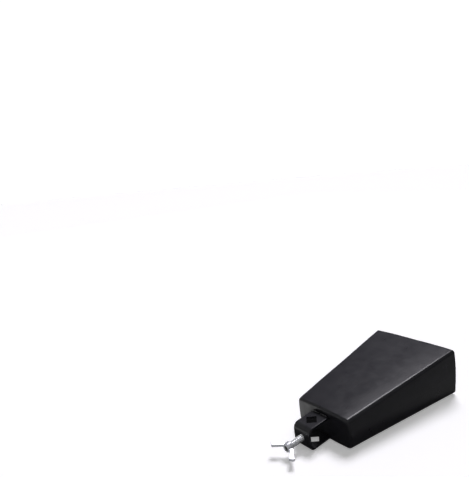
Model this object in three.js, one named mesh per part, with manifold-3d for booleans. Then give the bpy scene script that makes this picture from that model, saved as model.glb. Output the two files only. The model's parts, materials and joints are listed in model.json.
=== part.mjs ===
// Cowbell with a welded clamp bracket and a wing screw. Millimetres, +Z up.
// The bell lies on its lower broad face. The closed crown faces -Y, the open mouth faces +Y.
// Everything is first laid out on the bell's own axis: X across the broad faces, Y from the
// crown (0) to the mouth (bellLength), Z through the thickness. The whole assembly is then
// tipped by the taper so that the lower face is level on Z = 0.
import * as THREE from "three";
import { mergeVertices } from "three/addons/utils/BufferGeometryUtils.js";
import Module from "manifold-3d";

const wasm = await Module();
wasm.setup();

// ---- driving dimensions ----
const bellLength = 190;
const sheet = 1.5;

// The two ends of the bell. The panels are flat in the middle and fall away towards the corners.
const crownEnd = { width: 83, thickness: 39.6, corner: 5.5, sideBulge: 0.8, panelSag: 0.8 };
const mouthEnd = { width: 127, thickness: 66.5, corner: 4.5, sideBulge: 1.2, panelSag: 1.0 };
const crownEdgeRadius = 3.5;
const flatShare = 0.35; // share of a panel's half width that stays flat
const seamHalfWidth = 1.5; // weld filling the butt joint between the two shells
const fitGap = 0.3; // clearance between parts that are welded together

const strapWidth = 25.4;
const strapThickness = 2.8;
const bracketDepth = 28; // outside to outside across the two legs
const bracketHeight = 32.6;
const bendRadius = 7;
const footCornerRadius = 1.6;
const rodHoleSide = 12; // square hole, turned by 45 degrees
const rodHoleHeight = 14.8; // centre above the crown
const bracketX = -2.4;
const bracketZ = -2.5;
const footWeldSize = 2.2;
const footWeldLength = 11;
const footWeldPitch = 12.2;
const footWeldFullness = 0.72; // 0.5 is a flat fillet, 1 would fill its corner
const footWeldEndRound = 1.4; // radius of a bead's rounded ends, as a share of its size

const threadDiameter = 7.94; // 5/16 inch, 18 threads to the inch
const threadClearance = 0.2;
const exposedThread = 18; // from the bracket's bridge to the wing head's collar
const reachInside = 7.4; // stud tip below the bridge's outer face
const tipChamfer = 1.1;
const spigotDiameter = 5.4; // the stud's thinner end, riveted in the wing head's bore
const spigotLength = 5.9;
const headHeight = 7;
const headBore = 6;
const wingThickness = 3.2;
const wingBevel = 0.5;
const wingTurn = THREE.MathUtils.degToRad(8);

const overrun = 4; // how far a cutter reaches beyond what it cuts
const far = 300; // further out than any piece

const taper = Math.atan((mouthEnd.thickness - crownEnd.thickness) / 2 / bellLength);

// ---- helpers ----
function solidFrom(geometry) {
  const bare = geometry.index ? geometry.toNonIndexed() : geometry.clone();
  bare.deleteAttribute("normal");
  bare.deleteAttribute("uv");
  const merged = mergeVertices(bare, 1e-4);
  return new wasm.Manifold(
    new wasm.Mesh({
      numProp: 3,
      vertProperties: merged.attributes.position.array,
      triVerts: new Uint32Array(merged.index.array),
    }),
  );
}

function geometryFrom(solid) {
  const mesh = solid.getMesh();
  const geometry = new THREE.BufferGeometry();
  const positions = new THREE.BufferAttribute(Float32Array.from(mesh.vertProperties), 3);
  geometry.setAttribute("position", positions);
  geometry.setIndex(new THREE.BufferAttribute(Uint32Array.from(mesh.triVerts), 1));
  geometry.computeVertexNormals();
  return geometry;
}

// Solid block between two opposite corners, used to cut and split.
function block(low, high) {
  const size = high.map((value, i) => value - low[i]);
  const middle = high.map((value, i) => (value + low[i]) / 2);
  return solidFrom(new THREE.BoxGeometry(...size).translate(...middle));
}

// Closed skin through rings that all have the same number of points, with a flat cap at each end.
function loft(rings) {
  const count = rings[0].length;
  const points = rings.flat();
  const faces = [];
  for (let r = 0; r + 1 < rings.length; r++) {
    for (let i = 0; i < count; i++) {
      const next = (i + 1) % count;
      const a = r * count + i;
      const b = r * count + next;
      faces.push(a, b, b + count, a, b + count, a + count);
    }
  }
  const firstCentre = points.length;
  points.push([0, rings[0][0][1], 0]);
  const lastCentre = points.length;
  points.push([0, rings.at(-1)[0][1], 0]);
  const lastRing = (rings.length - 1) * count;
  for (let i = 0; i < count; i++) {
    const next = (i + 1) % count;
    faces.push(firstCentre, next, i);
    faces.push(lastCentre, lastRing + i, lastRing + next);
  }
  const geometry = new THREE.BufferGeometry();
  geometry.setAttribute("position", new THREE.Float32BufferAttribute(points.flat(), 3));
  geometry.setIndex(faces);
  return geometry;
}

// Body turned about the Y axis, from [radius, y] pairs that start and end on the axis.
function turned(profile) {
  const points = profile.map(([radius, y]) => new THREE.Vector2(radius, y));
  return solidFrom(new THREE.LatheGeometry(points, 48));
}

function extruded(shape, depth, options = {}) {
  return new THREE.ExtrudeGeometry(shape, {
    depth,
    bevelEnabled: false,
    curveSegments: 10,
    ...options,
  }).translate(0, 0, -depth / 2);
}

const mix = (from, to, share) => from + (to - from) * share;

// ---- bell ----
// Cross-section of the bell at one place along it, moved in by an inset all round.
function section(y, inset) {
  const share = y / bellLength;
  const halfWidth = mix(crownEnd.width, mouthEnd.width, share) / 2 - inset;
  const halfThickness = mix(crownEnd.thickness, mouthEnd.thickness, share) / 2 - inset;
  const corner = Math.max(mix(crownEnd.corner, mouthEnd.corner, share) - inset, 0.6);
  const bulge = mix(crownEnd.sideBulge, mouthEnd.sideBulge, share);
  const sag = mix(crownEnd.panelSag, mouthEnd.panelSag, share);
  const across = halfWidth - bulge - corner;
  const upright = halfThickness - sag - corner;
  const quarter = [];
  for (let i = 0; i <= 8; i++) {
    const fall = Math.max(0, (i / 8 - flatShare) / (1 - flatShare));
    quarter.push([(across * i) / 8, halfThickness - sag * fall ** 2]);
  }
  for (let i = 1; i < 6; i++) {
    const angle = (Math.PI / 2) * (i / 6);
    quarter.push([across + corner * Math.sin(angle), upright + corner * Math.cos(angle)]);
  }
  for (let i = 0; i <= 5; i++) {
    const z = upright * (1 - i / 5);
    quarter.push([halfWidth - bulge * (z / upright) ** 2, z]);
  }
  const back = quarter.toReversed();
  return [
    ...quarter.slice(1),
    ...back.slice(1).map(([x, z]) => [x, -z]),
    ...quarter.slice(1).map(([x, z]) => [-x, -z]),
    ...back.slice(1).map(([x, z]) => [-x, z]),
  ].map(([x, z]) => [x, y, z]);
}

// Solid body of the bell, from its rounded crown edge to the mouth or beyond it.
function bellBody(inset, crownY, edgeRadius, endY) {
  const rings = [];
  for (let i = 6; i >= 0; i--) {
    const angle = (Math.PI / 2) * (i / 6);
    const y = crownY + edgeRadius * (1 - Math.sin(angle));
    rings.push(section(y, inset + edgeRadius * (1 - Math.cos(angle))));
  }
  rings.push(section(endY, inset));
  return solidFrom(loft(rings));
}

const bellWall = bellBody(0, 0, crownEdgeRadius, bellLength).subtract(
  bellBody(sheet, sheet, crownEdgeRadius - sheet, bellLength + overrun),
);

const shellStart = seamHalfWidth + fitGap;
const upperShell = bellWall.intersect(block([-far, -far, shellStart], [far, far, far]));
const lowerShell = bellWall.intersect(block([-far, -far, -far], [far, far, -shellStart]));

// The seam runs down both narrow sides and across the crown, as three welds.
const seam = bellWall.intersect(block([-far, -far, -seamHalfWidth], [far, far, seamHalfWidth]));
const sideStart = crownEdgeRadius + fitGap;
const crownSeam = seam.intersect(block([-far, -far, -far], [far, crownEdgeRadius, far]));
const rightSeam = seam.intersect(block([0, sideStart, -far], [far, far, far]));
const leftSeam = seam.intersect(block([-far, sideStart, -far], [0, far, far]));

// ---- bracket ----
// Strap bent to a U, seen from its open side: the feet stand on the crown, the bridge is outside.
function strapProfile() {
  const outer = bracketDepth / 2;
  const inner = outer - strapThickness;
  const innerBend = bendRadius - strapThickness;
  const bendY = -bracketHeight + bendRadius;
  const bendZ = outer - bendRadius;
  const foot = -fitGap;
  const left = Math.PI;
  const down = 1.5 * Math.PI;
  const right = 2 * Math.PI;
  const profile = new THREE.Shape();
  profile.moveTo(-outer, foot);
  profile.lineTo(-outer, bendY);
  profile.absarc(-bendZ, bendY, bendRadius, left, down, false);
  profile.absarc(bendZ, bendY, bendRadius, down, right, false);
  profile.lineTo(outer, foot);
  profile.lineTo(inner, foot);
  profile.absarc(bendZ, bendY, innerBend, right, down, true);
  profile.absarc(-bendZ, bendY, innerBend, down, left, true);
  profile.lineTo(-inner, foot);
  return profile;
}

// The strap seen face on, with the small rounds at the corners of its feet.
function strapOutline() {
  const half = strapWidth / 2;
  const radius = footCornerRadius;
  const roundY = -fitGap - radius;
  const outline = new THREE.Shape();
  outline.moveTo(-half, -bracketHeight - overrun);
  outline.lineTo(half, -bracketHeight - overrun);
  outline.absarc(half - radius, roundY, radius, 0, Math.PI / 2, false);
  outline.absarc(-half + radius, roundY, radius, Math.PI / 2, Math.PI, false);
  return outline;
}

function bracketSolid() {
  const through = bracketDepth + overrun;
  const strap = solidFrom(extruded(strapProfile(), strapWidth).rotateY(-Math.PI / 2));
  const outline = solidFrom(extruded(strapOutline(), through));
  const rodHole = solidFrom(
    new THREE.BoxGeometry(rodHoleSide, rodHoleSide, through)
      .rotateZ(Math.PI / 4)
      .translate(0, -rodHoleHeight, 0),
  );
  const screwRadius = threadDiameter / 2 + threadClearance;
  const screwHole = solidFrom(
    new THREE.CylinderGeometry(screwRadius, screwRadius, strapThickness + overrun, 48)
      .translate(0, -bracketHeight + strapThickness / 2, 0),
  );
  return strap.intersect(outline).subtract(rodHole).subtract(screwHole);
}

// Fillet weld bead along Z, in the corner of a wall on each of the planes X = 0 and Y = 0.
function footWeldSolid() {
  const size = footWeldSize;
  const profile = new THREE.Shape();
  profile.moveTo(0, 0);
  profile.lineTo(size, 0);
  profile.quadraticCurveTo(size * footWeldFullness, size * footWeldFullness, 0, size);
  const bead = solidFrom(extruded(profile, footWeldLength));
  const endRadius = size * footWeldEndRound;
  const ends = solidFrom(
    new THREE.SphereGeometry(1, 32, 16).scale(endRadius, endRadius, footWeldLength / 2),
  );
  return bead.intersect(ends);
}

// ---- wing screw ----
// Both parts are laid out from the collar's seat (0): the stud towards +Y, the head towards -Y.
function studSolid() {
  const tip = exposedThread + reachInside;
  const radius = threadDiameter / 2;
  const spigot = spigotDiameter / 2;
  const spigotEnd = -fitGap - spigotLength;
  return turned([
    [0, spigotEnd],
    [spigot - 0.4, spigotEnd],
    [spigot, spigotEnd + 0.4],
    [spigot, fitGap],
    [radius - 0.4, fitGap],
    [radius, fitGap + 0.4],
    [radius, tip - tipChamfer],
    [radius - tipChamfer, tip],
    [0, tip],
  ]);
}

// One wing in the head's own plane, with the hub's axis along Y and the wings towards +Y.
function wingShape() {
  const wing = new THREE.Shape();
  wing.moveTo(2.5, 1.4);
  wing.lineTo(5.4, 1.5);
  wing.quadraticCurveTo(7.6, 2.3, 9.2, 3.9);
  wing.lineTo(17.6, 10.4);
  wing.quadraticCurveTo(19.3, 11.8, 18.1, 13.1);
  wing.lineTo(15.4, 15.2);
  wing.quadraticCurveTo(13.9, 16.2, 12.8, 14.7);
  wing.lineTo(7.4, 8.2);
  wing.quadraticCurveTo(5.9, 6.6, 4.2, 6.2);
  wing.lineTo(2.5, 6.2);
  return wing;
}

function wingHeadSolid() {
  const hub = turned([
    [0, 0],
    [4.3, 0],
    [4.9, 0.4],
    [5.5, 0.5],
    [5.6, 1.5],
    [5.2, 1.8],
    [5.7, 2.1],
    [5.6, 2.8],
    [4.8, 6.2],
    [4.5, 6.8],
    [4.1, headHeight],
    [0, headHeight],
  ]);
  const bore = turned([
    [0, -1],
    [headBore / 2, -1],
    [headBore / 2, headHeight - 0.5],
    [headBore / 2 + 0.4, headHeight + 1],
    [0, headHeight + 1],
  ]);
  const wing = extruded(wingShape(), wingThickness - 2 * wingBevel, {
    bevelEnabled: true,
    bevelThickness: wingBevel,
    bevelSize: wingBevel,
    bevelOffset: -wingBevel,
    bevelSegments: 2,
    curveSegments: 8,
  });
  const otherWing = wing.clone().rotateY(Math.PI);
  return hub.add(solidFrom(wing)).add(solidFrom(otherWing)).subtract(bore);
}

// ---- materials and assembly ----
const blackCoat = { color: 0x2b2c30, roughness: 0.45, metalness: 0.2 };
const zincPlate = { color: 0xc9ccd0, roughness: 0.3, metalness: 0.9 };

const assembly = new THREE.Group();

function part(name, solid, look) {
  const mesh = new THREE.Mesh(geometryFrom(solid), new THREE.MeshStandardMaterial(look));
  mesh.name = name;
  assembly.add(mesh);
  return mesh;
}

part("upper_shell", upperShell, blackCoat);
part("lower_shell", lowerShell, blackCoat);
part("seam_weld_right", rightSeam, blackCoat);
part("seam_weld_left", leftSeam, blackCoat);
part("seam_weld_crown", crownSeam, blackCoat);
part("bracket", bracketSolid(), blackCoat).position.set(bracketX, 0, bracketZ);

// Two beads, side by side, along the foot of each leg.
for (const [row, side] of [["upper", 1], ["lower", -1]]) {
  for (const [end, along] of [["left", -1], ["right", 1]]) {
    const bead = part(`bracket_weld_${row}_${end}`, footWeldSolid(), blackCoat);
    bead.geometry.rotateZ(-Math.PI / 2).rotateY((side * -Math.PI) / 2);
    bead.position.set(
      bracketX + (along * footWeldPitch) / 2,
      -fitGap,
      bracketZ + side * (bracketDepth / 2 + fitGap),
    );
  }
}

const collarY = -bracketHeight - exposedThread;
part("threaded_stud", studSolid(), zincPlate).position.set(bracketX, collarY, bracketZ);

const wingHead = part("wing_head", wingHeadSolid(), zincPlate);
wingHead.geometry.rotateX(Math.PI);
wingHead.position.set(bracketX, collarY, bracketZ);
wingHead.rotation.y = wingTurn;

// Tip the bell onto its lower face and centre it front to back.
assembly.rotation.x = taper;
assembly.position.z = (crownEnd.thickness / 2) * Math.cos(taper);
const cowbell = new THREE.Group();
cowbell.add(assembly);
cowbell.updateMatrixWorld(true);
const bounds = new THREE.Box3().setFromObject(cowbell, true);
assembly.position.y = -(bounds.min.y + bounds.max.y) / 2;

export default cowbell;
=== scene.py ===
"""Looks for the cowbell with a clamp bracket and a wing screw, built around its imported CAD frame."""

import json
import math

import bmesh
import bpy
from mathutils import Matrix, Vector, noise


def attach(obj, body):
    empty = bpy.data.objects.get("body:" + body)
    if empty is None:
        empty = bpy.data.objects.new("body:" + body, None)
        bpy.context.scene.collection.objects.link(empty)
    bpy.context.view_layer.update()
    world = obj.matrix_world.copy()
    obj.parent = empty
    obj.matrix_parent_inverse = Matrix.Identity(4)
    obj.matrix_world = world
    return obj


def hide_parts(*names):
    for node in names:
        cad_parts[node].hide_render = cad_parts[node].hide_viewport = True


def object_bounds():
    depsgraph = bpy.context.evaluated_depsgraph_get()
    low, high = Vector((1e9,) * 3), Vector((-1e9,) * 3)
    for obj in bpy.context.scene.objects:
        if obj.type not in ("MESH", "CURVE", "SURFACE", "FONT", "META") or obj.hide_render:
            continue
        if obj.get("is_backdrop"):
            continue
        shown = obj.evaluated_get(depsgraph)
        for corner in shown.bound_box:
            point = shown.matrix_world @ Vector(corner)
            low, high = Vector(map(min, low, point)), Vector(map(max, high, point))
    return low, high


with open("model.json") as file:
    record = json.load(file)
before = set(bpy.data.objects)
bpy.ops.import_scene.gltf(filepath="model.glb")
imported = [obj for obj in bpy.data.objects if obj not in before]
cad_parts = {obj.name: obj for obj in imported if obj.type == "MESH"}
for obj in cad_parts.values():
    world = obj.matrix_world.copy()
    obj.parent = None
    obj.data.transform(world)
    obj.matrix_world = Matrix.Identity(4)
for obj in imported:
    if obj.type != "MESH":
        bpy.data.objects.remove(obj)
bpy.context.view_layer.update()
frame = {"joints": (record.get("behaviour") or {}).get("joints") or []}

MM = 0.001
MERGE_DISTANCE = 1e-7
ROUND_STEPS = 5

# ---- driving dimensions, in millimetres on the bell's own axis, with the CAD part's values ----
# X across the broad faces, Y from the crown (0) to the mouth, Z through the thickness.
BELL_LENGTH = 190
SHEET = 1.5
CROWN_END = {"width": 83, "thickness": 39.6, "corner": 5.5, "bulge": 0.8, "sag": 0.8}
MOUTH_END = {"width": 127, "thickness": 66.5, "corner": 4.5, "bulge": 1.2, "sag": 1.0}
CROWN_EDGE = 3.5
FLAT_SHARE = 0.35
SEAM_HALF = 1.5

STRAP_WIDTH = 25.4
STRAP_THICKNESS = 2.8
FOOT_CORNER = 1.6
BRACKET_DEPTH = 28
BRACKET_HEIGHT = 32.6
BEND_RADIUS = 7
ROD_HOLE_SIDE = 12
ROD_HOLE_HEIGHT = 14.8
BRACKET_X = -2.4
BRACKET_Z = -2.5
BEAD_PITCH = 12.2

THREAD_RADIUS = 7.94 / 2
TIP_CHAMFER = 1.1
EXPOSED_THREAD = 18
REACH_INSIDE = 7.4
SCREW_HOLE_RADIUS = THREAD_RADIUS + 0.2
HEAD_HEIGHT = 7
HEAD_BORE = 3.0
WING_THICKNESS = 3.2
WING_TURN = math.radians(8)
COLLAR_Y = -BRACKET_HEIGHT - EXPOSED_THREAD

# ---- finer detail, which the CAD part leaves out ----
RIM_LENGTH = 0.5
RIM_RADIUS = 0.45
SHEET_INSET = 0.24
SEAM_START = CROWN_EDGE + 0.15
SEAM_PROUD = 0.04
SEAM_PROUD_INSIDE = 0.05
STRAP_EDGE = 0.7
FOOT_REACH = 0.25
BEND_SPREAD = 0.034
BEND_DRAW = 0.014
HOLE_EDGE = 0.3
ROD_HOLE_CORNER = 0.7
BEAD_ROOT = 0.4
BEAD_RIPPLE = {"pitch": 1.9, "height": 0.012, "bow": 0.9}
THREAD_PITCH = 25.4 / 18
THREAD_DEPTH = 0.80
THREAD_RUN_OUT = 1.0
WING_FLARE = 1.12
WING_REACH = 18

# The beads' nominal size and length, where the CAD part has 2.2 and 11.
BEAD_SIZE = 2.4
BEAD_LENGTH = 11.4

# ---- the bell's own axis in the shared frame, from the screw's joint ----
screw_joint = next(j for j in frame["joints"] if j["name"] == "wing_turn")
across = Vector((1, 0, 0))
along = Vector(screw_joint["axis"]).normalized()
through = across.cross(along)
collar = Vector(screw_joint["pos_m"])
crown_centre = collar - MM * (BRACKET_X * across + COLLAR_Y * along + BRACKET_Z * through)
BELL = Matrix.Translation(crown_centre) @ Matrix((across, along, through)).transposed().to_4x4()
BELL = BELL @ Matrix.Scale(MM, 4)
BRACKET = BELL @ Matrix.Translation((BRACKET_X, 0, BRACKET_Z))
HEAD = (
    BELL
    @ Matrix.Translation((BRACKET_X, COLLAR_Y, BRACKET_Z))
    @ Matrix.Rotation(WING_TURN, 4, "Y")
    @ Matrix.Rotation(math.pi, 4, "X")
)


# ---- mesh helpers ----
def mesh_object(name, points, faces, placement, sharp_angle=40):
    """A closed mesh in the shared frame, from millimetre points on one of the axes above."""
    mesh = bpy.data.meshes.new(name)
    mesh.from_pydata([placement @ Vector(p) for p in points], [], faces)
    clean(mesh, sharp_angle)
    made = bpy.data.objects.new(name, mesh)
    bpy.context.scene.collection.objects.link(made)
    return made


def clean(mesh, sharp_angle):
    """Merges doubles, turns every face outwards and shades it smooth up to an angle."""
    work = bmesh.new()
    work.from_mesh(mesh)
    bmesh.ops.remove_doubles(work, verts=work.verts, dist=MERGE_DISTANCE)
    bmesh.ops.dissolve_degenerate(work, edges=work.edges, dist=MERGE_DISTANCE)
    bmesh.ops.recalc_face_normals(work, faces=work.faces)
    limit = math.radians(sharp_angle)
    for face in work.faces:
        face.smooth = True
    for edge in work.edges:
        if len(edge.link_faces) == 2:
            edge.smooth = edge.calc_face_angle(0) < limit
    work.to_mesh(mesh)
    work.free()


def take_shape(made):
    """Makes the modified mesh the piece's own, and drops the modifiers."""
    bpy.context.view_layer.update()
    shaped = made.evaluated_get(bpy.context.evaluated_depsgraph_get())
    mesh = bpy.data.meshes.new_from_object(shaped)
    made.modifiers.clear()
    made.data = mesh


def apply_modifiers(made, sharp_angle=40):
    """Applies the modifiers, then cleans the mesh and marks its sharp edges."""
    take_shape(made)
    clean(made.data, sharp_angle)


def weigh_normals(made):
    """Keeps flat faces flat in the shading, next to small rounded edges."""
    made.modifiers.new("weigh_normals", "WEIGHTED_NORMAL").keep_sharp = True
    take_shape(made)


def cut(made, cutter):
    """Takes the cutter's solid out of a piece, and removes the cutter."""
    step = made.modifiers.new("cut", "BOOLEAN")
    step.operation = "DIFFERENCE"
    step.solver = "EXACT"
    step.object = cutter
    apply_modifiers(made)
    bpy.data.objects.remove(cutter)


def grid_faces(rows, columns, close_rows=False, close_columns=False):
    """Four-sided faces between points laid out in rows, joined round where asked."""
    faces = []
    for r in range(rows if close_rows else rows - 1):
        for c in range(columns if close_columns else columns - 1):
            here = r * columns
            below = (r + 1) % rows * columns
            right = (c + 1) % columns
            faces.append((here + c, here + right, below + right, below + c))
    return faces


def end_caps(rows, columns):
    """The two faces that close a tube of rows at its ends."""
    last = (rows - 1) * columns
    return [tuple(range(columns)), tuple(last + i for i in reversed(range(columns)))]


def edge_caps(rows, columns):
    """Faces between the outer rows and the inner rows, along a strip's two long edges."""
    faces = []
    for r in range(rows // 2 - 1):
        for column in (0, columns - 1):
            low = r * columns + column
            high = (rows - 1 - r) * columns + column
            faces.append((low, low + columns, high - columns, high))
    return faces


def prism_faces(count):
    """Faces of a prism whose two outlines have count points each."""
    sides = grid_faces(2, count, close_columns=True)
    return sides + [tuple(reversed(range(count))), tuple(range(count, 2 * count))]


def rounded_rectangle(width, height, radius):
    """Outline of a rectangle with round corners, about its middle."""
    half_width = width / 2 - radius
    half_height = height / 2 - radius
    outline = []
    for turn, (sx, sy) in enumerate(((1, 1), (-1, 1), (-1, -1), (1, -1))):
        for i in range(ROUND_STEPS + 1):
            angle = math.pi / 2 * (turn + i / ROUND_STEPS)
            x = sx * half_width + radius * math.cos(angle)
            y = sy * half_height + radius * math.sin(angle)
            outline.append((x, y))
    return outline


def lathe(name, profile, placement, segments=96, wobble=0.0):
    """Body turned about Y, from (radius, y) pairs that start and end on the axis."""
    points = []
    for radius, y in profile:
        for i in range(segments):
            angle = 2 * math.pi * i / segments
            direction = Vector((math.cos(angle), 0, math.sin(angle)))
            swell = wobble * noise.noise(direction * 1.3 + Vector((0, y * 0.4, 0)))
            points.append(direction * (radius + (swell if radius > 0 else 0)) + Vector((0, y, 0)))
    faces = grid_faces(len(profile), segments, close_columns=True)
    return mesh_object(name, points, faces, placement)


def mix(low, high, share):
    """The value at a share of the way from low to high."""
    return low + (high - low) * share


# ---- bell ----
PANEL_STEPS = 34
CORNER_STEPS = 12
SIDE_STEPS = 18
SEAM_STEPS = 8
CROWN_STEPS = 13
EDGE_STEPS = 10
WALL_STEPS = 60
RIM_STEPS = 4
LEAST_CORNER = 0.6

# How far the sheet swells and over what length, in millimetres.
BROAD_SWELL = {"height": 0.30, "length": 52}
SHORT_SWELL = {"height": 0.10, "length": 17}
WELD_PULL = {"height": 0.22, "length": 9, "fade": 9}
# A seam's share of its full height, how far a ripple changes that, and the ripple's length.
SEAM_RIPPLE = {"mean": 0.6, "height": 0.4, "length": 2.2}


def quarter_section(y, inset):
    """(x, z, outward x, outward z) from the middle of a broad face to the seam on the narrow side."""
    share = y / BELL_LENGTH
    half_width = mix(CROWN_END["width"], MOUTH_END["width"], share) / 2 - inset
    half_thickness = mix(CROWN_END["thickness"], MOUTH_END["thickness"], share) / 2 - inset
    corner = max(mix(CROWN_END["corner"], MOUTH_END["corner"], share) - inset, LEAST_CORNER)
    bulge = mix(CROWN_END["bulge"], MOUTH_END["bulge"], share)
    sag = mix(CROWN_END["sag"], MOUTH_END["sag"], share)
    flat = half_width - bulge - corner
    upright = half_thickness - sag - corner
    points = []
    for i in range(PANEL_STEPS):
        fall = max(0, (i / PANEL_STEPS - FLAT_SHARE) / (1 - FLAT_SHARE))
        slope = 2 * sag * fall / (flat * (1 - FLAT_SHARE))
        lean = math.atan(slope)
        z = half_thickness - sag * fall**2
        points.append((flat * i / PANEL_STEPS, z, math.sin(lean), math.cos(lean)))
    for i in range(CORNER_STEPS):
        angle = math.pi / 2 * i / CORNER_STEPS
        s = math.sin(angle)
        c = math.cos(angle)
        points.append((flat + corner * s, upright + corner * c, s, c))
    for i in range(SIDE_STEPS + 1):
        z = mix(upright, SEAM_HALF, i / SIDE_STEPS)
        points.append((half_width - bulge * (z / upright) ** 2, z, 1, 0))
    return points


def hand_formed(x, y, z):
    """How far the sheet stands out or in at a place, as pressed and welded sheet does."""
    place = Vector((x, y, z))
    broad = BROAD_SWELL["height"] * noise.noise(place / BROAD_SWELL["length"])
    short_place = place / SHORT_SWELL["length"] + Vector((5, 3, 1))
    short = SHORT_SWELL["height"] * noise.noise(short_place)
    pull_place = place / WELD_PULL["length"] + Vector((2, 7, 4))
    fade = math.exp(-max(y, 0) / WELD_PULL["fade"])
    pulled = WELD_PULL["height"] * fade * noise.noise(pull_place)
    return broad + short + pulled - SHEET_INSET


def station(y, inset, scale=1.0):
    """A place along the bell: its y, how far the section is drawn in, and its share of full size."""
    return {"y": y, "inset": inset, "scale": scale}


def wall_path(depth):
    """Stations along one face of the sheet, from the crown's centre to the mouth."""
    path = []
    for i in range(CROWN_STEPS):
        path.append(station(depth, CROWN_EDGE, i / CROWN_STEPS))
    radius = CROWN_EDGE - depth
    for i in range(EDGE_STEPS, 0, -1):
        angle = math.pi / 2 * i / EDGE_STEPS
        y = depth + radius * (1 - math.sin(angle))
        path.append(station(y, depth + radius * (1 - math.cos(angle))))
    for i in range(WALL_STEPS + 1):
        y = mix(CROWN_EDGE, BELL_LENGTH - RIM_LENGTH, i / WALL_STEPS)
        path.append(station(y, depth))
    return path


def rim_path():
    """The cut edge of the sheet at the mouth, with its burr rubbed off."""
    outer = []
    inner = []
    for i in range(RIM_STEPS + 1):
        angle = math.pi / 2 * i / RIM_STEPS
        y = BELL_LENGTH - RIM_RADIUS * (1 - math.sin(angle))
        rounding = RIM_RADIUS * (1 - math.cos(angle))
        outer.append(station(y, rounding))
        inner.append(station(y, SHEET - rounding))
    return outer[1:] + inner[-2::-1]


def ring(stop, side):
    """The half section at a station, from the right seam over one broad face to the left seam."""
    quarter = quarter_section(stop["y"], stop["inset"])
    half = [(x, z, nx, nz) for x, z, nx, nz in reversed(quarter)]
    half += [(-x, z, -nx, nz) for x, z, nx, nz in quarter[1:]]
    points = []
    for x, z, nx, nz in half:
        x *= stop["scale"]
        z = mix(SEAM_HALF, z, stop["scale"])
        out = hand_formed(x, stop["y"], z * side)
        end = 1 - min(1, stop["y"] / CROWN_EDGE)
        aside = out * (1 - end) * stop["scale"]
        points.append((x + nx * aside, stop["y"] - out * end, side * (z + nz * aside)))
    return points


def shell(name, side):
    """The upper (1) or lower (-1) half of the bell, from seam to seam."""
    path = wall_path(0) + rim_path() + list(reversed(wall_path(SHEET)))
    rings = [ring(stop, side) for stop in path]
    rows = len(rings)
    columns = len(rings[0])
    faces = grid_faces(rows, columns) + edge_caps(rows, columns)
    return mesh_object(name, [p for one in rings for p in one], faces, BELL, 50)


def seam_row(stop, side, proud):
    """Points across the weld at one station on the right (1) or left (-1) narrow side."""
    half_width = quarter_section(stop["y"], stop["inset"])[-1][0] * stop["scale"]
    row = []
    for i in range(SEAM_STEPS + 1):
        z = mix(-SEAM_HALF, SEAM_HALF, i / SEAM_STEPS)
        out = hand_formed(half_width * side, stop["y"], SEAM_HALF)
        crown = math.cos(math.pi / 2 * z / SEAM_HALF)
        place = Vector((half_width * side, stop["y"], 0)) / SEAM_RIPPLE["length"]
        ripple = SEAM_RIPPLE["mean"] + SEAM_RIPPLE["height"] * noise.noise(place)
        out += proud * crown * ripple
        end = 1 - min(1, stop["y"] / CROWN_EDGE)
        aside = out * (1 - end) * stop["scale"]
        row.append((side * (half_width + aside), stop["y"] - out * end, z))
    return row


def seam(name, outer_rows, inner_rows):
    """A weld as thick as the sheet, between its outer and its inner rows."""
    rows = outer_rows + list(reversed(inner_rows))
    columns = SEAM_STEPS + 1
    faces = grid_faces(len(rows), columns, close_rows=True) + edge_caps(len(rows), columns)
    return mesh_object(name, [p for row in rows for p in row], faces, BELL, 50)


def side_seam(name, side):
    """The ground weld along the right (1) or left (-1) narrow side."""

    def rows(depth, proud, rim):
        least_step = 0.5
        stops = [station(SEAM_START, depth)]
        stops += [s for s in wall_path(depth) if s["y"] > SEAM_START + least_step]
        return [seam_row(s, side, proud) for s in stops + rim]

    rim = rim_path()
    half = len(rim) // 2
    outer_rows = rows(0, SEAM_PROUD, rim[:half])
    inner_rows = rows(SHEET, SEAM_PROUD_INSIDE, list(reversed(rim[half:])))
    return seam(name, outer_rows, inner_rows)


def crown_seam(name):
    """The ground weld across the crown, round to the start of both side seams."""

    def rows(depth, proud):
        least_step = 0.01
        stops = [s for s in wall_path(depth) if s["y"] < CROWN_EDGE - least_step]
        stops.append(station(SEAM_START, depth))
        left = [seam_row(s, -1, proud) for s in reversed(stops[1:])]
        return left + [seam_row(s, 1, proud) for s in stops]

    return seam(name, rows(0, SEAM_PROUD), rows(SHEET, SEAM_PROUD_INSIDE))


# ---- bracket ----
FOOT_STEPS = 6
LEG_STEPS = 8
BEND_STEPS = 20


def strap_path():
    """(y, z, tangent y, tangent z, bend share, trim) along the middle of the strap, foot to foot."""
    middle = BRACKET_DEPTH / 2 - STRAP_THICKNESS / 2
    radius = BEND_RADIUS - STRAP_THICKNESS / 2
    bend_y = -BRACKET_HEIGHT + BEND_RADIUS
    bend_z = BRACKET_DEPTH / 2 - BEND_RADIUS
    path = []
    for i in range(FOOT_STEPS + 1):
        angle = math.pi / 2 * i / FOOT_STEPS
        trim = FOOT_CORNER * (1 - math.sin(angle))
        path.append((FOOT_REACH - FOOT_CORNER * (1 - math.cos(angle)), middle, -1, 0, 0, trim))
    for i in range(1, LEG_STEPS):
        path.append((mix(FOOT_REACH - FOOT_CORNER, bend_y, i / LEG_STEPS), middle, -1, 0, 0, 0))
    for i in range(BEND_STEPS + 1):
        angle = math.pi / 2 * i / BEND_STEPS
        bent = math.sin(2 * angle)
        y = bend_y - radius * math.sin(angle)
        path.append((y, bend_z + radius * math.cos(angle), -math.cos(angle), -math.sin(angle), bent, 0))
    return path + [(y, -z, -ty, tz, bent, trim) for y, z, ty, tz, bent, trim in reversed(path)]


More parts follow.
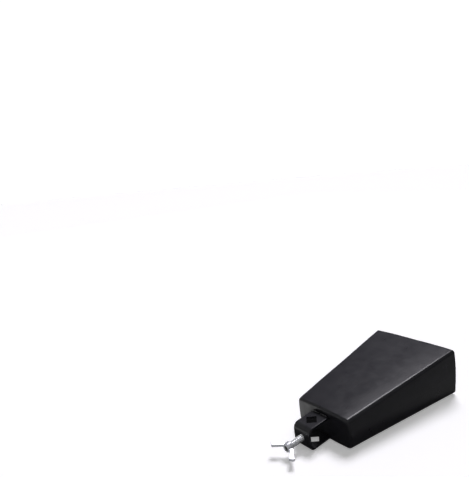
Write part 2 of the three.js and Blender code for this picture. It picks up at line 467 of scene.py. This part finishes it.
def bracket():
    """The strap bent to a U and swept foot to foot, with its holes cut and their edges broken."""
    section = rounded_rectangle(STRAP_WIDTH, STRAP_THICKNESS, STRAP_EDGE)
    points = []
    for y, z, ty, tz, bent, trim in strap_path():
        for wide, out in section:
            inward = max(0, -out / (STRAP_THICKNESS / 2))
            spread = bent * (BEND_SPREAD * inward - BEND_DRAW * (1 - inward))
            swell = 1 + spread - 2 * trim / STRAP_WIDTH
            points.append((wide * swell, y + tz * out, z - ty * out))
    columns = len(section)
    rows = len(points) // columns
    faces = grid_faces(rows, columns, close_columns=True) + end_caps(rows, columns)
    made = mesh_object("bracket_strap", points, faces, BRACKET)
    cut(made, rod_hole_cutter())
    cut(made, screw_hole_cutter())
    edges = made.modifiers.new("edges", "BEVEL")
    edges.width = HOLE_EDGE * MM
    edges.segments = 3
    edges.limit_method = "ANGLE"
    edges.angle_limit = math.radians(55)
    apply_modifiers(made, 35)
    weigh_normals(made)
    return made


def rod_hole_cutter():
    """The square rod hole, standing on its corner, with slightly rounded corners."""
    outline = []
    for x, y in rounded_rectangle(ROD_HOLE_SIDE, ROD_HOLE_SIDE, ROD_HOLE_CORNER):
        outline.append(((x - y) / math.sqrt(2), (x + y) / math.sqrt(2) - ROD_HOLE_HEIGHT))
    overrun = 3
    reach = BRACKET_DEPTH / 2 + overrun
    points = [(x, y, z) for z in (-reach, reach) for x, y in outline]
    return mesh_object("rod_hole_cutter", points, prism_faces(len(outline)), BRACKET)


def screw_hole_cutter():
    """The screw's hole through the bridge."""
    overrun = 2
    low = -BRACKET_HEIGHT - overrun
    high = -BRACKET_HEIGHT + STRAP_THICKNESS + overrun
    profile = [(0, low), (SCREW_HOLE_RADIUS, low), (SCREW_HOLE_RADIUS, high), (0, high)]
    return lathe("screw_hole_cutter", profile, BRACKET, 64)


def foot_bead(name, row, end):
    """One short fillet bead at a leg's foot, with the ripples that a torch leaves."""
    steps = 96
    around = 20
    throat = 0.80
    crown = 0.20
    unevenness = 0.15
    least_end = 0.02
    end_squareness = 5
    leg = row * BRACKET_DEPTH / 2
    centre = end * BEAD_PITCH / 2
    points = []
    for s in range(steps + 1):
        share = s / steps * 2 - 1
        size = BEAD_SIZE * max(least_end, 1 - abs(share) ** end_squareness) ** 0.5
        for a in range(around + 1):
            angle = math.pi / 2 * a / around
            bow = BEAD_RIPPLE["bow"] * math.sin(2 * angle)
            x = share * BEAD_LENGTH / 2
            ripple = BEAD_RIPPLE["height"] * math.cos(2 * math.pi * (x + bow) / BEAD_RIPPLE["pitch"])
            rough = noise.noise(Vector((x + centre, angle * 2, row * 3)) * 0.45)
            full = throat + crown * math.sin(2 * angle) + ripple + unevenness * rough
            reach = size * full
            points.append((centre + x, -reach * math.sin(angle), leg + row * reach * math.cos(angle)))
        points.append((centre + share * BEAD_LENGTH / 2, BEAD_ROOT, leg - row * BEAD_ROOT))
    columns = around + 2
    faces = grid_faces(steps + 1, columns, close_columns=True) + end_caps(steps + 1, columns)
    return mesh_object(name, points, faces, BRACKET, 60)


# ---- wing screw ----
def thread_shape(phase):
    """Height of a V thread with flats over one pitch, 0 at the root and 1 at the crest."""
    root_flat = 0.12
    flank = 0.74
    slope = 1 - abs(2 * phase - 1)
    return min(1, max(0, (slope - root_flat) / flank))


def threaded_rod():
    """The stud with its true thread, chamfered at the tip and run out under the head."""
    segments = 64
    per_pitch = 14
    hidden_root = 0.4
    nick_depth = 0.03
    start = COLLAR_Y - hidden_root
    tip = COLLAR_Y + EXPOSED_THREAD + REACH_INSIDE
    steps = round((tip - start) / THREAD_PITCH * per_pitch)
    rows = []
    for s in range(steps + 1):
        y = mix(start, tip, s / steps)
        row = []
        for i in range(segments):
            angle = 2 * math.pi * i / segments
            height = thread_shape(((y / THREAD_PITCH) + i / segments) % 1)
            run_out = min(1, max(0, (y - COLLAR_Y) / THREAD_RUN_OUT))
            radius = THREAD_RADIUS - THREAD_DEPTH * (1 - height * run_out)
            radius = min(radius, THREAD_RADIUS - TIP_CHAMFER + (tip - y))
            nick = nick_depth * noise.noise(Vector((math.cos(angle), y * 0.8, math.sin(angle))) * 3)
            row.append(((radius + nick) * math.cos(angle), y, (radius + nick) * math.sin(angle)))
        rows.append(row)
    faces = grid_faces(len(rows), segments, close_columns=True) + end_caps(len(rows), segments)
    return mesh_object("threaded_rod", [p for row in rows for p in row], faces, BRACKET, 60)


def rivet_end():
    """The stud's peened end, seen down in the head's bore."""
    profile = [(0, 2), (2.7, 2), (2.7, 5.4), (2.45, 5.85), (1.6, 6.05), (0.7, 5.95), (0, 5.9)]
    return lathe("stud_rivet_end", profile, HEAD, 48, 0.05)


def curve_points(start, handle, end, steps=8):
    """Points along a quadratic curve, without its first."""
    points = []
    for i in range(1, steps + 1):
        t = i / steps
        point = [(1 - t) ** 2 * a + 2 * t * (1 - t) * b + t * t * c for a, b, c in zip(start, handle, end)]
        points.append(tuple(point))
    return points


def wing_outline():
    """One wing in the head's plane: (radius, height), as in the CAD part."""
    outline = [(2.5, 1.6), (5.4, 1.7)]
    outline += curve_points((5.4, 1.7), (7.6, 2.3), (9.2, 3.9))
    outline += [(17.6, 10.4)]
    outline += curve_points((17.6, 10.4), (19.3, 11.8), (18.1, 13.1))
    outline += [(15.4, 15.2)]
    outline += curve_points((15.4, 15.2), (13.9, 16.2), (12.8, 14.7))
    outline += [(7.4, 8.2)]
    outline += curve_points((7.4, 8.2), (5.9, 6.6), (4.2, 6.2))
    outline += [(2.5, 6.2)]
    return outline


def wing_blank(side):
    """Points and faces of the plain wing on one side, thicker towards its tip."""
    outline = wing_outline()
    points = []
    for face in (-1, 1):
        for radius, height in outline:
            flare = mix(1.0, WING_FLARE, min(1, radius / WING_REACH))
            points.append((side * radius, height, face * WING_THICKNESS / 2 * flare))
    return points, prism_faces(len(outline))


def cast_head():
    """Hub and wings run together with the soft fillets of a casting."""
    profile = [
        (0, 1.9), (5.2, 1.9), (5.55, 2.4), (5.45, 3.2), (5.0, 5.6), (4.7, 6.6),
        (4.2, HEAD_HEIGHT), (0, HEAD_HEIGHT),
    ]
    hub = lathe("wing_head_cast", profile, Matrix.Identity(4), 64)
    work = bmesh.new()
    work.from_mesh(hub.data)
    for side in (1, -1):
        points, faces = wing_blank(side)
        made = [work.verts.new(p) for p in points]
        for face in faces:
            work.faces.new([made[i] for i in face])
    bmesh.ops.recalc_face_normals(work, faces=work.faces)
    work.to_mesh(hub.data)
    work.free()
    run_together = hub.modifiers.new("run_together", "REMESH")
    run_together.mode = "VOXEL"
    run_together.voxel_size = 0.24
    soften = hub.modifiers.new("soften", "SMOOTH")
    soften.factor = 0.5
    soften.iterations = 7
    apply_modifiers(hub)
    unevenness = 0.05
    for vertex in hub.data.vertices:
        vertex.co += vertex.normal * unevenness * noise.noise(vertex.co * 0.55)
    bore = [
        (0, 5.0), (HEAD_BORE, 5.0), (HEAD_BORE, 6.4), (HEAD_BORE + 0.45, HEAD_HEIGHT + 0.1),
        (HEAD_BORE + 0.6, 9), (0, 9),
    ]
    cut(hub, lathe("bore_cutter", bore, Matrix.Identity(4), 64))
    hub.data.transform(HEAD)
    clean(hub.data, 50)
    return hub


def collar_rings():
    """The turned seat under the hub, with a groove between its two rings."""
    profile = [
        (0, 0.02), (4.1, 0.02), (4.4, 0.1), (4.9, 0.4), (5.35, 0.5), (5.55, 0.7), (5.6, 1.1),
        (5.5, 1.42), (5.2, 1.52), (5.1, 1.7), (5.25, 1.86), (5.6, 1.95), (5.7, 2.2), (5.6, 2.55),
        (5.0, 2.8), (0, 2.8),
    ]
    return lathe("wing_head_collar", profile, HEAD, 96, 0.04)


# ---- materials ----
class Look:
    """A material whose nodes start from the object's own coordinates."""

    def __init__(self, name):
        self.material = bpy.data.materials.new(name)
        self.material.use_nodes = True
        self.nodes = self.material.node_tree.nodes
        self.links = self.material.node_tree.links
        self.shader = self.nodes["Principled BSDF"]
        self.place = self.nodes.new("ShaderNodeTexCoord").outputs["Object"]

    def stretched(self, scale):
        """Object coordinates scaled by axis, for marks that run one way."""
        mapping = self.nodes.new("ShaderNodeMapping")
        mapping.inputs["Scale"].default_value = scale
        self.links.new(self.place, mapping.inputs["Vector"])
        return mapping.outputs["Vector"]

    def noise(self, scale, detail=3, roughness=0.55, place=None):
        """Cloudy noise, with scale cells to the metre."""
        texture = self.nodes.new("ShaderNodeTexNoise")
        texture.inputs["Scale"].default_value = scale
        texture.inputs["Detail"].default_value = detail
        texture.inputs["Roughness"].default_value = roughness
        self.links.new(place or self.place, texture.inputs["Vector"])
        return texture.outputs["Fac"]

    def specks(self, scale):
        """Distance to the nearest of scattered points, scale to the metre."""
        texture = self.nodes.new("ShaderNodeTexVoronoi")
        texture.inputs["Scale"].default_value = scale
        self.links.new(self.place, texture.inputs["Vector"])
        return texture.outputs["Distance"]

    def span(self, value, low, high, to_low, to_high):
        """Maps a value from one range to another, and holds it at the ends."""
        node = self.nodes.new("ShaderNodeMapRange")
        for key, number in zip(("From Min", "From Max", "To Min", "To Max"), (low, high, to_low, to_high)):
            node.inputs[key].default_value = number
        self.links.new(value, node.inputs["Value"])
        return node.outputs["Result"]

    def math(self, operation, first, second):
        """One arithmetic step between two sockets or numbers."""
        node = self.nodes.new("ShaderNodeMath")
        node.operation = operation
        for socket, value in zip(node.inputs, (first, second)):
            if isinstance(value, (int, float)):
                socket.default_value = value
            else:
                self.links.new(value, socket)
        return node.outputs["Value"]

    def blend(self, share, first, second):
        """Mixes two colours, each a socket or a plain colour."""
        node = self.nodes.new("ShaderNodeMix")
        node.data_type = "RGBA"
        self.links.new(share, node.inputs["Factor"])
        for socket, colour in zip((node.inputs[6], node.inputs[7]), (first, second)):
            if isinstance(colour, tuple):
                socket.default_value = (*colour, 1)
            else:
                self.links.new(colour, socket)
        return node.outputs[2]

    def edges(self, low, high):
        """0 to 1 between two degrees of pointiness: less than 0.5 is a groove, more an outer edge."""
        return self.span(self.nodes.new("ShaderNodeNewGeometry").outputs["Pointiness"], low, high, 0, 1)

    def bump(self, layers):
        """Stacks (height, strength, distance) layers, coarse to fine."""
        normal = None
        for height, strength, distance in layers:
            node = self.nodes.new("ShaderNodeBump")
            node.inputs["Strength"].default_value = strength
            node.inputs["Distance"].default_value = distance
            self.links.new(height, node.inputs["Height"])
            if normal:
                self.links.new(normal, node.inputs["Normal"])
            normal = node.outputs["Normal"]
        self.links.new(normal, self.shader.inputs["Normal"])

    def set(self, key, value):
        """Sets a shader input to a number or a colour, or links it to a socket."""
        socket = self.shader.inputs[key]
        if isinstance(value, (int, float, tuple)):
            socket.default_value = (*value, 1) if isinstance(value, tuple) else value
        else:
            self.links.new(value, socket)


def powder_coat(name, smoothest, roughest):
    """Satin black powder coat: orange peel, a fine grain, faint rubs and a few dust specks."""
    look = Look(name)
    cloud = look.noise(38, 4)
    colour = look.blend(cloud, (0.0062, 0.0062, 0.0082), (0.0088, 0.0088, 0.0112))
    rubs = look.span(look.noise(1, 5, 0.7, look.stretched((260, 40, 260))), 0.63, 0.78, 0, 1)
    colour = look.blend(look.math("MULTIPLY", rubs, 0.35), colour, (0.026, 0.026, 0.028))
    wear = look.math("MULTIPLY", look.edges(0.53, 0.62), look.span(look.noise(420, 4), 0.42, 0.68, 0, 1))
    colour = look.blend(look.math("MULTIPLY", wear, 0.5), colour, (0.034, 0.034, 0.036))
    dust = look.span(look.specks(520), 0.03, 0.07, 1, 0)
    dust = look.math("MULTIPLY", dust, look.span(look.noise(95, 2), 0.6, 0.7, 0, 1))
    look.set("Base Color", look.blend(look.math("MULTIPLY", dust, 0.4), colour, (0.09, 0.09, 0.09)))
    roughness = look.span(look.noise(75, 5), 0.3, 0.7, smoothest, roughest)
    look.set("Roughness", look.math("ADD", roughness, look.math("MULTIPLY", rubs, 0.08)))
    look.set("IOR", 1.5)
    look.set("Specular IOR Level", 0.3)
    look.bump([(look.noise(620, 2), 0.22, 0.00008), (look.noise(3600, 3), 0.16, 0.00002)])
    return look.material


def zinc_thread():
    """Bright zinc plate on a rolled thread: rubbed crests, and painted shade that darkens the grooves."""
    look = Look("bright_zinc_thread")
    plate = look.blend(look.noise(330, 4), (0.80, 0.81, 0.83), (0.93, 0.94, 0.96))
    # Painted shade: the grooves, found by their low pointiness, get a dark colour in place of the shade
    # that falls in them.
    groove_shade = look.blend(look.noise(700, 3), (0.055, 0.052, 0.048), (0.20, 0.195, 0.19))
    look.set("Base Color", look.blend(look.edges(0.39, 0.48), groove_shade, plate))
    look.set("Metallic", 0.85)
    look.set("Roughness", look.span(look.noise(900, 4), 0.3, 0.7, 0.20, 0.30))
    look.bump([(look.noise(2600, 3), 0.15, 0.00002)])
    return look.material


def riveted_steel():
    """The stud's hammered end: bare steel, darkened, with some plate left in the dents."""
    look = Look("dark_riveted_steel")
    left = look.span(look.noise(800, 4), 0.52, 0.70, 0, 1)
    look.set("Base Color", look.blend(left, (0.045, 0.042, 0.040), (0.30, 0.29, 0.28)))
    look.set("Metallic", 0.85)
    look.set("Roughness", look.span(look.noise(1500, 3), 0.3, 0.7, 0.42, 0.60))
    look.bump([(look.noise(700, 3), 0.4, 0.00008)])
    return look.material


def zinc_casting():
    """Zinc plate on a tumbled casting: grainy grey faces and rubbed, brighter edges."""
    look = Look("zinc_plated_casting")
    rubbed = look.edges(0.53, 0.59)
    grain = look.noise(2400, 3, 0.6)
    grey = look.blend(grain, (0.46, 0.47, 0.50), (0.70, 0.71, 0.75))
    look.set("Base Color", look.blend(rubbed, grey, (0.84, 0.85, 0.87)))
    look.set("Metallic", 0.82)
    dull = look.span(grain, 0.3, 0.7, 0.30, 0.42)
    look.set("Roughness", look.math("SUBTRACT", dull, look.math("MULTIPLY", rubbed, 0.12)))
    look.bump([(look.noise(240, 2), 0.10, 0.00006), (grain, 0.40, 0.00003)])
    return look.material


def studio_paper():
    """Plain pale paper that glows a little, so that the floor stays white."""
    look = Look("studio_paper")
    look.set("Base Color", look.blend(look.noise(3, 2), (0.87, 0.87, 0.87), (0.89, 0.89, 0.89)))
    look.set("Emission Color", (1.0, 1.0, 1.0))
    look.set("Emission Strength", 0.30)
    look.set("Roughness", 0.9)
    look.set("Specular IOR Level", 0.1)
    look.bump([(look.noise(900, 3), 0.05, 0.00005)])
    return look.material


def finish_piece(made, material, slot, body, *nodes):
    """Gives a piece its material and its body, and hides the CAD nodes that it stands for; slot is not
    used.
    """
    made.data.materials.clear()
    made.data.materials.append(material)
    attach(made, body)
    if nodes:
        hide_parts(*nodes)


# ---- the pieces ----
black = powder_coat("satin_black_powder_coat", 0.27, 0.35)
coated_weld = powder_coat("powder_coat_over_weld", 0.15, 0.23)
finish_piece(shell("upper_shell_sheet", 1), black, "black_coat", "bell", "upper_shell")
finish_piece(shell("lower_shell_sheet", -1), black, "black_coat", "bell", "lower_shell")
finish_piece(side_seam("right_seam", 1), black, "black_coat", "bell", "seam_weld_right")
finish_piece(side_seam("left_seam", -1), black, "black_coat", "bell", "seam_weld_left")
finish_piece(crown_seam("crown_seam"), black, "black_coat", "bell", "seam_weld_crown")
finish_piece(bracket(), black, "black_coat", "bell", "bracket")
for row_name, row in (("upper", 1), ("lower", -1)):
    for end_name, end in (("left", -1), ("right", 1)):
        bead = foot_bead(f"foot_bead_{row_name}_{end_name}", row, end)
        finish_piece(bead, coated_weld, "black_coat", "bell", f"bracket_weld_{row_name}_{end_name}")

stud_zinc = zinc_thread()
head_zinc = zinc_casting()
finish_piece(threaded_rod(), stud_zinc, "zinc_stud", "stud", "threaded_stud")
finish_piece(cast_head(), head_zinc, "zinc_head", "wing", "wing_head")
finish_piece(collar_rings(), head_zinc, "zinc_head", "wing")
finish_piece(rivet_end(), riveted_steel(), "zinc_stud", "wing")


# ---- studio ----
FLOOR_REACH = 12
BACKDROP_RADIUS = 10
CARD_DISTANCE = 4
CARD_REACH = 3


def direction(azimuth, elevation):
    """Towards a camera or lamp; azimuth 0 stands in front at -Y, 90 at +X."""
    a, e = math.radians(azimuth), math.radians(elevation)
    return Vector((math.sin(a) * math.cos(e), -math.cos(a) * math.cos(e), math.sin(e)))


def soft_lamp(name, azimuth, elevation, strength, spread, tint=(1, 1, 1)):
    """A round studio lamp far away, seen under the angle spread."""
    lamp = bpy.data.lights.new(name, "SUN")
    lamp.color = tint
    lamp.energy = strength
    lamp.angle = math.radians(spread)
    made = bpy.data.objects.new(name, lamp)
    made.rotation_euler = direction(azimuth, elevation).to_track_quat("Z", "Y").to_euler()
    bpy.context.scene.collection.objects.link(made)


def glow(name, strength):
    """White light of one strength, all over."""
    paper = bpy.data.materials.new(name)
    paper.use_nodes = True
    emission = paper.node_tree.nodes.new("ShaderNodeEmission")
    emission.inputs["Color"].default_value = (1, 1, 1, 1)
    emission.inputs["Strength"].default_value = strength
    output = paper.node_tree.nodes["Material Output"]
    paper.node_tree.links.new(emission.outputs[0], output.inputs["Surface"])
    return paper


def lit_card(name, corners, strength):
    """A lit card that is only seen mirrored in the object."""
    mesh = bpy.data.meshes.new(name)
    mesh.from_pydata(corners, [], [(0, 1, 2, 3)])
    mesh.materials.append(glow(name, strength))
    card = bpy.data.objects.new(name, mesh)
    bpy.context.scene.collection.objects.link(card)
    card.visible_camera = False
    card.visible_diffuse = False
    card.visible_shadow = False
    card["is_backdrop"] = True


def table_card(name, low, high, height, strength):
    """A card lying on the table, between two opposite corners."""
    x0, y0 = low
    x1, y1 = high
    outline = ((x0, y0), (x1, y0), (x1, y1), (x0, y1))
    lit_card(name, [(x, y, height) for x, y in outline], strength)


def standing_card(name, azimuth, width, low, high, strength):
    """A card far away, width degrees wide and reaching between two elevations."""
    left = azimuth - width / 2
    right = azimuth + width / 2
    outline = ((left, low), (right, low), (right, high), (left, high))
    lit_card(name, [direction(*corner) * CARD_DISTANCE for corner in outline], strength)


def studio_floor(ground):
    """The pale floor, which the object's own reflections don't show."""
    outline = ((-1, -1), (1, -1), (1, 1), (-1, 1))
    corners = [(x * FLOOR_REACH, y * FLOOR_REACH, ground) for x, y in outline]
    mesh = bpy.data.meshes.new("floor")
    mesh.from_pydata(corners, [], [(0, 1, 2, 3)])
    mesh.materials.append(studio_paper())
    floor = bpy.data.objects.new("floor", mesh)
    bpy.context.scene.collection.objects.link(floor)
    floor.visible_glossy = False
    floor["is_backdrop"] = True


def backdrop():
    """A glowing dome that only the camera sees."""
    dome_mesh = bpy.data.meshes.new("backdrop")
    work = bmesh.new()
    bmesh.ops.create_uvsphere(work, u_segments=48, v_segments=24, radius=BACKDROP_RADIUS)
    work.to_mesh(dome_mesh)
    work.free()
    dome_mesh.materials.append(glow("backdrop_glow", 1.05))
    dome = bpy.data.objects.new("backdrop", dome_mesh)
    bpy.context.scene.collection.objects.link(dome)
    dome.visible_glossy = False
    dome.visible_diffuse = False
    dome.visible_shadow = False
    dome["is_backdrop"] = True


def lit_cards(ground, right_edge):
    """Cards on the table round the object, and cards standing round it."""
    far = CARD_REACH
    card_height = ground + 0.3 * MM
    front = collar.y - 5 * MM
    left = crown_centre.x - 47 * MM
    right = right_edge + 4 * MM
    table_card("left_card", (-far, -far), (left, far), card_height, 1.5)
    table_card("front_card", (left, -far), (far, front), card_height, 0.45)
    table_card("right_card", (right, front), (far, far), card_height, 0.20)
    standing_card("left_panel", 278, 50, 14, 48, 0.75)
    standing_card("front_left_panel", 330, 40, 14, 48, 0.75)
    standing_card("front_right_panel", 25, 56, 14, 52, 0.85)
    standing_card("right_panel", 95, 50, 14, 46, 0.50)
    standing_card("back_right_panel", 145, 36, 12, 40, 0.28)


def lamps():
    """A key from beyond the mouth, a soft panel near it, a fill at the front, and a faint world."""
    soft_lamp("key", 206, 63, 2.3, 24, (0.96, 0.94, 1.0))
    soft_lamp("back_panel", 226, 33, 0.31, 70, (0.86, 0.83, 1.0))
    soft_lamp("fill", 62, 50, 0.45, 80)
    world = bpy.data.worlds.new("studio")
    world.use_nodes = True
    world.node_tree.nodes["Background"].inputs["Color"].default_value = (1, 1, 1, 1)
    world.node_tree.nodes["Background"].inputs["Strength"].default_value = 0.03
    bpy.context.scene.world = world


def studio():
    """The whole studio, laid out from the object's box."""
    bpy.context.view_layer.update()
    lowest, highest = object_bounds()
    studio_floor(lowest[2])
    backdrop()
    lit_cards(lowest[2], highest[0])
    lamps()
    bpy.context.scene.view_settings.view_transform = "Standard"


def camera():
    """Stands where the photographer stood; the bell lies in the lower right of the frame."""
    target = crown_centre + Vector((0, 84.6, 13.2)) * MM
    azimuth, elevation, distance = 38.92, 27.74, 614 * MM
    turn, tilt, roll = 11.75, -14.05, math.radians(-4.76)
    sensor_width = 36
    # The lens and the shift are measured against the frame's longer side, its height.
    frame_height = 477
    focal_length = 455
    shift = 37.5
    back = direction(azimuth + turn, elevation + tilt)
    heading = math.radians(azimuth + turn)
    right = Vector((math.cos(heading), math.sin(heading), 0))
    up = back.cross(right)
    rolled_right = math.cos(roll) * right + math.sin(roll) * up
    rolled_up = math.cos(roll) * up - math.sin(roll) * right
    data = bpy.data.cameras.new("camera")
    data.sensor_width = sensor_width
    data.lens = sensor_width * focal_length / frame_height
    data.shift_x = -shift / frame_height
    data.shift_y = shift / frame_height
    data.clip_start = 0.01
    made = bpy.data.objects.new("camera", data)
    turned = Matrix((rolled_right, rolled_up, back)).transposed().to_4x4()
    made.matrix_world = Matrix.Translation(target + direction(azimuth, elevation) * distance) @ turned
    bpy.context.scene.collection.objects.link(made)
    bpy.context.scene.camera = made


studio()
camera()

bpy.context.view_layer.update()
